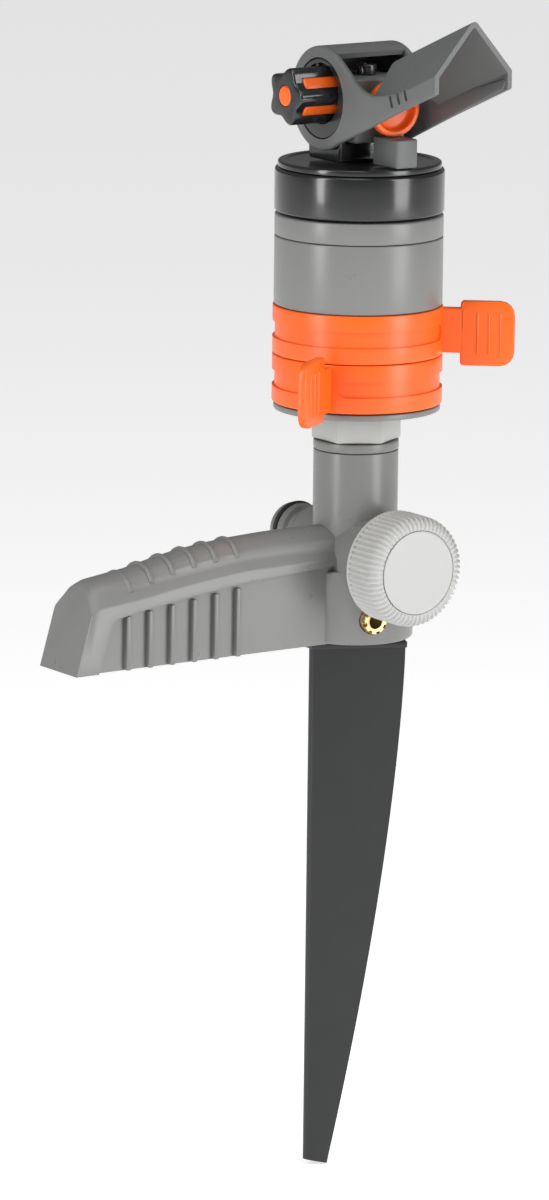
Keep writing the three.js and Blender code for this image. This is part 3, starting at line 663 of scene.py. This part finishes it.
# Turning cap: a glossy black band with a rounded shoulder, and a slightly smaller disc that lies on it.
gloss_black = moulded("gloss_black", (0.013, 0.0135, 0.014), 0.22, grain=0.06, streak=0.12, coat=0.35)
low, high = reach("cap_band")
band = turned([(5.5, high, 0), (34.2, high, 1.3), (34.2, low, 0.9), (31.8, low, 0), (31.8, high - 2.4, 0.5),
               (5.5, high - 2.4, 0)], 192, closed=True)
finish_piece("turning_band", band, gloss_black, "head", ["cap_band"])
low, high = reach("cap_disc")
disc = turned([(5.5, low, 0), (33, low, 0.3), (33, high, 0.9), (29.8, high, 0.5), (29.2, high - 0.5, 0.4),
               (5.5, high - 0.5, 0)], 192, closed=True)
finish_piece("turning_disc", disc, gloss_black, "head", ["cap_disc"])


# Head bracket: black moulding screwed to the disc, with two round journals that the deflector swings on.
PIVOT_Y = 2.0
bracket_low, bracket_high = reach("head_bracket")
PIVOT_Z = bracket_high - 16.1
GRIP_Z = PIVOT_Z + 2


def bracket_shape():
    base = brick(-15.5, 15.5, PIVOT_Y - 10, PIVOT_Y + 12, bracket_low, bracket_low + 8, 1.0, 3)
    parts = []
    for side in (-1, 1):
        low_x, high_x = sorted((side * 12.5, side * 15.5))
        parts.append(brick(low_x, high_x, PIVOT_Y - 10, PIVOT_Y + 12, bracket_low + 1, PIVOT_Z - 4, 0.6))
        low_x, high_x = sorted((side * 12.5, side * 18.2))
        parts.append(along_x(rod(16.1, low_x, high_x, 0.4, 96), PIVOT_Y, PIVOT_Z))
    holes = [along_x(rod(12.4, -20, -11.5, 0, 64), PIVOT_Y, GRIP_Z)]
    holes.append(along_x(rod(3, 11, 16.2, 0, 32), PIVOT_Y, GRIP_Z))
    holes.append(rod(5.5, bracket_low - 1, bracket_low + 9, 0, 32))
    return worked(base, parts, holes)


head_grey = moulded("head_grey", (0.122, 0.128, 0.127), 0.45, grain=0.4, streak=0.07)
finish_piece("head_bracket_moulding", bracket_shape(), gloss_black, "head", ["head_bracket"])
low, high = reach("bracket_pin")
pin = shifted(turned([(0, low, 0), (4, low, 0.2), (4, high, 0.7), (1.6, high, 0.3), (1.2, high - 1.4, 0),
                      (0, high - 1.4, 0)], 64), y=PIVOT_Y - 6)
finish_piece("bracket_pin_head", pin, gloss_black, "head", ["bracket_pin"])


# Nozzle: a dark grey water box between the journals, the grey riser post in front of it, and the
# orange jet insert, a dished disc with one curled lip beside the bore.
def nozzle_box():
    low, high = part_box("nozzle_body")
    low, high = low * 1000, high * 1000
    bm = brick(low.x, high.x, low.y, high.y, low.z, high.z, 1.4, 3)
    return worked(bm, cuts=[along_x(rod(3, -20, 20, 0, 32), PIVOT_Y, GRIP_Z)])


def jet_insert():
    back, front = -reach("nozzle_insert", 1)[1], -reach("nozzle_insert", 1)[0]
    middle = PIVOT_Z - 2
    dish = turned([(0, back, 0), (9.5, back, 1), (11.5, front - 3, 1.5), (11.5, front, 0.8),
                   (9.3, front, 0.8), (8.6, front - 3.2, 1.5), (0, front - 4, 0)], 96)
    lip = along_x(pipe(5.2, 3.4, -4, 4, 0.5, 48), 0, 0)
    moved(lip, Matrix.Translation((0, 3.5, front - 4)))
    return along_y(worked(dish, [lip], [rod(2, back - 1, front + 1, 0, 32)]), middle, -1)


finish_piece("nozzle_water_box", nozzle_box(), head_grey, "head", ["nozzle_body"])
finish_piece("jet_insert", jet_insert(), orange, "head", ["nozzle_insert"])
low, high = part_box("riser_post")
low, high = low * 1000, high * 1000
post = brick(low.x, high.x, low.y, high.y, low.z, high.z, 0.8, 3)
finish_piece("riser_post_moulding", post, head_grey, "head", ["riser_post"])


# Deflector: one dark grey moulding, a yoke of two round-eared cheeks joined by a curved bridge behind,
# and a roofed tunnel in front that bends the jet down. It is moulded level and fitted tilted up.
TILT = math.radians(22)
CHEEK = 21.0
SKIRT = -20.0
EAVE = -13.0
RIDGE = 5.5


def cheek(low_x, high_x):
    line = [(74.5, SKIRT + 0.6), (77.5, SKIRT + 3), (77.2, EAVE - 2.2), (60, EAVE - 0.6), (42, EAVE + 2.6),
            (35.5, EAVE + 4.2), (30, EAVE + 7.4), (25.5, -1), (22, 5)]
    rim = [math.radians(a) for a in range(35, 283, 6)]
    line += [(CHEEK * math.cos(a), CHEEK * math.sin(a)) for a in rim]
    bm = slab([(-u, w) for u, w in line], low_x, high_x, 0.9, 3)
    return moved(bm, Matrix.Rotation(math.radians(90), 4, "Z") @ Matrix.Rotation(math.radians(90), 4, "X"))


def bridge():
    line = []
    for radius, order in ((CHEEK, range(0, 25)), (CHEEK - 2.4, range(24, -1, -1))):
        for i in order:
            a = math.radians(41 + i * 124 / 24)
            line.append((-radius * math.cos(a), radius * math.sin(a)))
    bm = slab(line, -16.8, 16.8)
    return moved(bm, Matrix.Rotation(math.radians(90), 4, "Z") @ Matrix.Rotation(math.radians(90), 4, "X"))


def tunnel():
    out, inn = 18.5, 16.5
    line = filleted([(-out, SKIRT, 0.8), (-out, EAVE, 1.0), (0, RIDGE + 1.2, 2.2), (out, EAVE, 1.0),
                     (out, SKIRT, 0.8), (inn, SKIRT, 0.8), (inn, EAVE - 0.8, 0.6), (0, RIDGE - 1.6, 0.8),
                     (-inn, EAVE - 0.8, 0.6), (-inn, SKIRT, 0.8)])
    bm = moved(slab(line, 30, 93), Matrix.Rotation(math.radians(90), 4, "X"))
    whole = bm.verts[:] + bm.edges[:] + bm.faces[:]
    bmesh.ops.bisect_plane(bm, geom=whole, dist=0.0001, plane_co=(0, -87.5, RIDGE),
                           plane_no=(0, -math.cos(TILT), -math.sin(TILT)), clear_outer=True)
    bmesh.ops.holes_fill(bm, edges=[e for e in bm.edges if e.is_boundary])
    whole = bm.verts[:] + bm.edges[:] + bm.faces[:]
    lean = math.atan2(17, RIDGE - EAVE)
    bmesh.ops.bisect_plane(bm, geom=whole, dist=0.0001, plane_co=(0, -31, RIDGE),
                           plane_no=(0, math.cos(lean), math.sin(lean)), clear_outer=True)
    bmesh.ops.holes_fill(bm, edges=[e for e in bm.edges if e.is_boundary])
    bmesh.ops.recalc_face_normals(bm, faces=bm.faces)
    return bm


def grip_slots():
    cutters = []
    for slot in range(3):
        tool = slab(filleted([(-0.9, -2.6, 0.8), (0.9, -2.6, 0.8), (0.9, 2.6, 0.8), (-0.9, 2.6, 0.8)]), -1, 1)
        moved(tool, Matrix.Rotation(math.radians(90), 4, "Z") @ Matrix.Rotation(math.radians(90), 4, "X"))
        cutters.append(shifted(tool, -18.6, -(47.5 + 5.2 * slot), -14.5))
    return cutters


def deflector_shape():
    hole = along_x(rod(16.4, -30, 30, 0, 96))
    bm = worked(cheek(-18.5, -16), [cheek(16, 18.5), bridge(), tunnel()], [hole] + grip_slots())
    return moved(bm, Matrix.Translation((0, PIVOT_Y, PIVOT_Z)) @ Matrix.Rotation(-TILT, 4, "X"))


finish_piece("jet_deflector", deflector_shape(), head_grey, "deflector", ["deflector"])


# Range knob: a black star with five lobes over an orange core, and an orange button in its face.
def star(radius, steps=20):
    line = []
    for i in range(5 * steps):
        a = math.tau * i / (5 * steps)
        dip = 0.5 - 0.5 * math.cos(5 * a)
        line.append((radius * (1 - 0.25 * dip ** 0.9) * math.cos(a - math.pi / 2),
                     radius * (1 - 0.25 * dip ** 0.9) * math.sin(a - math.pi / 2)))
    return line


def star_grip():
    outer, inner = reach("knob_grip", 0)
    face = slab(star(11.9), -inner, -outer, 0.9, 3)
    core_room = rod(9.9, -inner - 1, -outer - 4, 0, 64)
    return along_x(worked(face, cuts=[core_room, rod(4.4, -outer - 2.7, -outer + 1, 0, 48)]),
                   PIVOT_Y, GRIP_Z, -1)


finish_piece("range_knob_grip", star_grip(), gloss_black, "range_knob", ["knob_grip"])
outer, inner = reach("knob_core", 0)
finish_piece("range_knob_core", along_x(pipe(9.6, 2.6, -inner, -outer, 0.8, 96), PIVOT_Y, GRIP_Z, -1),
             orange, "range_knob", ["knob_core"])
outer, inner = reach("knob_button", 0)
finish_piece("range_knob_button", along_x(rod(4.2, -inner, -outer, 0.9, 64), PIVOT_Y, GRIP_Z, -1),
             orange, "range_knob", ["knob_button"])


# Inner works: valve, strainer, turbine and gears keep their own shapes and take real finishes.
def turned_steel():
    made, surface, wire = blank_finish("steel", Metallic=1.0)
    place = wire.node("TexCoord", output=3)
    brushed = wire.node("TexNoise", {"Vector": place, "Scale": 700.0, "Detail": 3.0})
    shades = [(0.2, (0.42, 0.43, 0.45)), (0.8, (0.62, 0.63, 0.65))]
    tint = wire.node("ValToRGB", {"Fac": brushed}, stops=shades)
    made.node_tree.links.new(tint.socket, surface.inputs["Base Color"])
    made.node_tree.links.new((brushed * 0.2 + 0.2).socket, surface.inputs["Roughness"])
    return made


white_plastic = moulded("white_plastic", (0.74, 0.74, 0.7), 0.42, grain=0.2, streak=0.03)
finishes = {"body_grey": body_grey, "head_grey": head_grey, "pale_grey": pale_grey, "brass": brass,
            "fitting_grey": fitting_grey, "gloss_black": gloss_black, "spike_black": spike_black,
            "orange": orange, "black_rubber": black_rubber, "white_plastic": white_plastic,
            "steel": turned_steel()}
slots = {part["node"]: part["material_slot"] for part in frame["record"]["subparts"]}
for name, node in frame["nodes"].items():
    node.data.materials.clear()
    node.data.materials.append(finishes[slots[name]])
